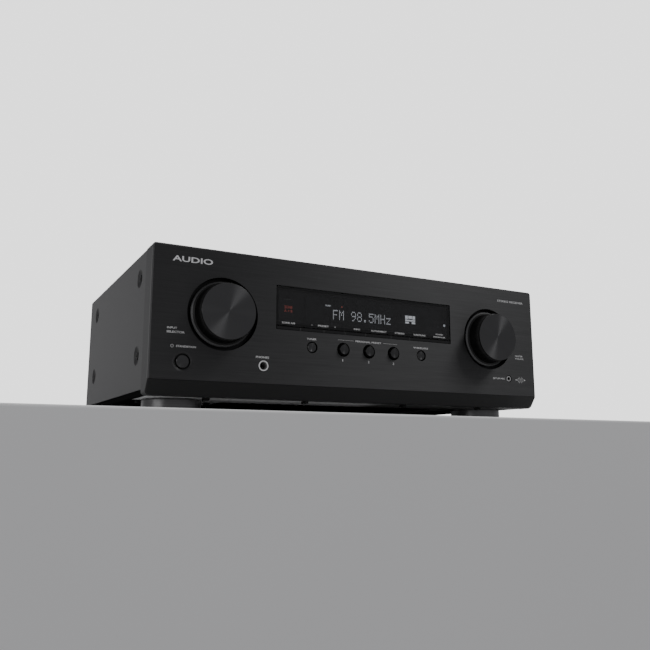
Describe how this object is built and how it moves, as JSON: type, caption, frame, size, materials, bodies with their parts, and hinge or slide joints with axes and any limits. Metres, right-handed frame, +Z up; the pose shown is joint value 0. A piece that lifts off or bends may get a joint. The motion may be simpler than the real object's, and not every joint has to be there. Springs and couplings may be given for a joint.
{
  "type": "stereo receiver",
  "caption": "Black table-top audio receiver with brushed front, wide display window, input and volume knobs, push buttons, vented steel cover and rear sockets.",
  "frame": {"origin": "on the surface that the feet stand on, at the middle of the whole width and depth", "axes": "+X to the right as the user faces the front, +Y from the front to the back, +Z up"},
  "size_m": [0.435, 0.3206, 0.149],
  "materials": {
    "brushed_fascia": "fine horizontal brushing, black anodised",
    "frame_plastic": "fine moulded texture, black",
    "window_acrylic": "smoked, polished",
    "display_glass": "dark display glass in its holder",
    "circuit_board": "green solder resist",
    "switch_plastic": "moulded",
    "knob_body": "satin black",
    "spun_cap": "spun, black anodised",
    "steel_shaft": "turned",
    "encoder_metal": "pressed",
    "spun_button": "spun, black anodised",
    "gloss_button": "polished black",
    "key_plastic": "polished black",
    "socket_plastic": "moulded black",
    "mic_socket": "moulded light grey",
    "bright_ring": "plated",
    "zinc_steel": "zinc-coated sheet",
    "cover_paint": "fine-textured black powder coat",
    "rear_paint": "fine-textured black powder coat",
    "screw_black": "black zinc",
    "foot_plastic": "satin black moulding",
    "pad_rubber": "soft pad",
    "core_iron": "varnished laminations",
    "winding_tape": "amber insulating tape",
    "capacitor_sleeve": "shrink sleeve",
    "heatsink_aluminium": "extruded, plain",
    "transistor_resin": "moulded resin",
    "tuner_can": "tinned sheet",
    "socket_metal": "plated",
    "stud_brass": "plated brass",
    "cap_red": "moulded red",
    "cap_black": "moulded black"
  },
  "bodies": {
    "chassis": {"fascia_plate": "brushed_fascia", "front_frame": "frame_plastic", "display_window": "window_acrylic", "display_module": "display_glass", "front_board": "circuit_board", "tact_switches": "switch_plastic", "input_encoder": "encoder_metal", "volume_encoder": "encoder_metal", "phones_jack": "socket_plastic", "phones_jack_ring": "bright_ring", "setup_mic_jack": "mic_socket", "bottom_chassis": "zinc_steel", "top_cover": "cover_paint", "rear_panel": "rear_paint", "chassis_screws": "screw_black", "feet": "foot_plastic", "foot_pads": "pad_rubber", "transformer_core": "core_iron", "transformer_winding": "winding_tape", "smoothing_capacitors": "capacitor_sleeve", "main_board": "circuit_board", "heatsink": "heatsink_aluminium", "power_transistors": "transistor_resin", "digital_board": "circuit_board", "tuner_module": "tuner_can", "audio_jacks": "socket_metal", "video_sockets": "socket_metal", "ac_inlet": "socket_plastic", "speaker_terminal_base": "socket_plastic", "terminal_studs": "stud_brass"},
    "input_knob": {"input_knob": "knob_body", "input_knob_cap": "spun_cap", "input_encoder_shaft": "steel_shaft"},
    "volume_knob": {"volume_knob": "knob_body", "volume_knob_cap": "spun_cap", "volume_encoder_shaft": "steel_shaft"},
    "standby_button": {"standby_button": "spun_button"},
    "tuner_button": {"tuner_button": "spun_button"},
    "preset_button_1": {"preset_button_1": "gloss_button"},
    "preset_button_2": {"preset_button_2": "gloss_button"},
    "preset_button_3": {"preset_button_3": "gloss_button"},
    "wireless_button": {"wireless_button": "spun_button"},
    "zone_key": {"zone_key": "key_plastic"},
    "preset_down_key": {"preset_down_key": "key_plastic"},
    "preset_up_key": {"preset_up_key": "key_plastic"},
    "info_key": {"info_key": "key_plastic"},
    "direct_key": {"direct_key": "key_plastic"},
    "stereo_key": {"stereo_key": "key_plastic"},
    "surround_key": {"surround_key": "key_plastic"},
    "sound_key": {"sound_key": "key_plastic"},
    "surround_right_positive_cap": {"surround_right_positive_cap": "cap_red"},
    "surround_right_negative_cap": {"surround_right_negative_cap": "cap_black"},
    "surround_left_positive_cap": {"surround_left_positive_cap": "cap_red"},
    "surround_left_negative_cap": {"surround_left_negative_cap": "cap_black"},
    "centre_positive_cap": {"centre_positive_cap": "cap_red"},
    "centre_negative_cap": {"centre_negative_cap": "cap_black"},
    "front_right_positive_cap": {"front_right_positive_cap": "cap_red"},
    "front_right_negative_cap": {"front_right_negative_cap": "cap_black"},
    "front_left_positive_cap": {"front_left_positive_cap": "cap_red"},
    "front_left_negative_cap": {"front_left_negative_cap": "cap_black"}
  },
  "joints": [
    {"name": "input_knob_turn", "type": "hinge", "parent": "chassis", "child": "input_knob", "pos_m": [-0.1522, -0.14495, 0.0907], "axis": [0, -1, 0], "continuous": true},
    {"name": "volume_knob_turn", "type": "hinge", "parent": "chassis", "child": "volume_knob", "pos_m": [0.1522, -0.14495, 0.0907], "axis": [0, -1, 0], "continuous": true},
    {"name": "standby_press", "type": "slide", "parent": "chassis", "child": "standby_button", "axis": [0, 1, 0], "range_m": [0, 0.0007], "stiffness_N_per_m": 500, "springref_m": -0.002},
    {"name": "tuner_press", "type": "slide", "parent": "chassis", "child": "tuner_button", "axis": [0, 1, 0], "range_m": [0, 0.0007], "stiffness_N_per_m": 500, "springref_m": -0.002},
    {"name": "preset_1_press", "type": "slide", "parent": "chassis", "child": "preset_button_1", "axis": [0, 1, 0], "range_m": [0, 0.0007], "stiffness_N_per_m": 500, "springref_m": -0.002},
    {"name": "preset_2_press", "type": "slide", "parent": "chassis", "child": "preset_button_2", "axis": [0, 1, 0], "range_m": [0, 0.0007], "stiffness_N_per_m": 500, "springref_m": -0.002},
    {"name": "preset_3_press", "type": "slide", "parent": "chassis", "child": "preset_button_3", "axis": [0, 1, 0], "range_m": [0, 0.0007], "stiffness_N_per_m": 500, "springref_m": -0.002},
    {"name": "wireless_press", "type": "slide", "parent": "chassis", "child": "wireless_button", "axis": [0, 1, 0], "range_m": [0, 0.0007], "stiffness_N_per_m": 500, "springref_m": -0.002},
    {"name": "zone_key_press", "type": "slide", "parent": "chassis", "child": "zone_key", "axis": [0, 1, 0], "range_m": [0, 0.0006], "stiffness_N_per_m": 500, "springref_m": -0.002},
    {"name": "preset_down_key_press", "type": "slide", "parent": "chassis", "child": "preset_down_key", "axis": [0, 1, 0], "range_m": [0, 0.0006], "stiffness_N_per_m": 500, "springref_m": -0.002},
    {"name": "preset_up_key_press", "type": "slide", "parent": "chassis", "child": "preset_up_key", "axis": [0, 1, 0], "range_m": [0, 0.0006], "stiffness_N_per_m": 500, "springref_m": -0.002},
    {"name": "info_key_press", "type": "slide", "parent": "chassis", "child": "info_key", "axis": [0, 1, 0], "range_m": [0, 0.0006], "stiffness_N_per_m": 500, "springref_m": -0.002},
    {"name": "direct_key_press", "type": "slide", "parent": "chassis", "child": "direct_key", "axis": [0, 1, 0], "range_m": [0, 0.0006], "stiffness_N_per_m": 500, "springref_m": -0.002},
    {"name": "stereo_key_press", "type": "slide", "parent": "chassis", "child": "stereo_key", "axis": [0, 1, 0], "range_m": [0, 0.0006], "stiffness_N_per_m": 500, "springref_m": -0.002},
    {"name": "surround_key_press", "type": "slide", "parent": "chassis", "child": "surround_key", "axis": [0, 1, 0], "range_m": [0, 0.0006], "stiffness_N_per_m": 500, "springref_m": -0.002},
    {"name": "sound_key_press", "type": "slide", "parent": "chassis", "child": "sound_key", "axis": [0, 1, 0], "range_m": [0, 0.0006], "stiffness_N_per_m": 500, "springref_m": -0.002},
    {"name": "surround_right_positive_cap_turn", "type": "hinge", "parent": "chassis", "child": "surround_right_positive_cap", "pos_m": [-0.104, 0.15335, 0.069], "axis": [0, 1, 0], "range_deg": [0, 1440]},
    {"name": "surround_right_negative_cap_turn", "type": "hinge", "parent": "chassis", "child": "surround_right_negative_cap", "pos_m": [-0.104, 0.15335, 0.045], "axis": [0, 1, 0], "range_deg": [0, 1440]},
    {"name": "surround_left_positive_cap_turn", "type": "hinge", "parent": "chassis", "child": "surround_left_positive_cap", "pos_m": [-0.083, 0.15335, 0.069], "axis": [0, 1, 0], "range_deg": [0, 1440]},
    {"name": "surround_left_negative_cap_turn", "type": "hinge", "parent": "chassis", "child": "surround_left_negative_cap", "pos_m": [-0.083, 0.15335, 0.045], "axis": [0, 1, 0], "range_deg": [0, 1440]},
    {"name": "centre_positive_cap_turn", "type": "hinge", "parent": "chassis", "child": "centre_positive_cap", "pos_m": [-0.062, 0.15335, 0.069], "axis": [0, 1, 0], "range_deg": [0, 1440]},
    {"name": "centre_negative_cap_turn", "type": "hinge", "parent": "chassis", "child": "centre_negative_cap", "pos_m": [-0.062, 0.15335, 0.045], "axis": [0, 1, 0], "range_deg": [0, 1440]},
    {"name": "front_right_positive_cap_turn", "type": "hinge", "parent": "chassis", "child": "front_right_positive_cap", "pos_m": [-0.041, 0.15335, 0.069], "axis": [0, 1, 0], "range_deg": [0, 1440]},
    {"name": "front_right_negative_cap_turn", "type": "hinge", "parent": "chassis", "child": "front_right_negative_cap", "pos_m": [-0.041, 0.15335, 0.045], "axis": [0, 1, 0], "range_deg": [0, 1440]},
    {"name": "front_left_positive_cap_turn", "type": "hinge", "parent": "chassis", "child": "front_left_positive_cap", "pos_m": [-0.02, 0.15335, 0.069], "axis": [0, 1, 0], "range_deg": [0, 1440]},
    {"name": "front_left_negative_cap_turn", "type": "hinge", "parent": "chassis", "child": "front_left_negative_cap", "pos_m": [-0.02, 0.15335, 0.045], "axis": [0, 1, 0], "range_deg": [0, 1440]}
  ]
}
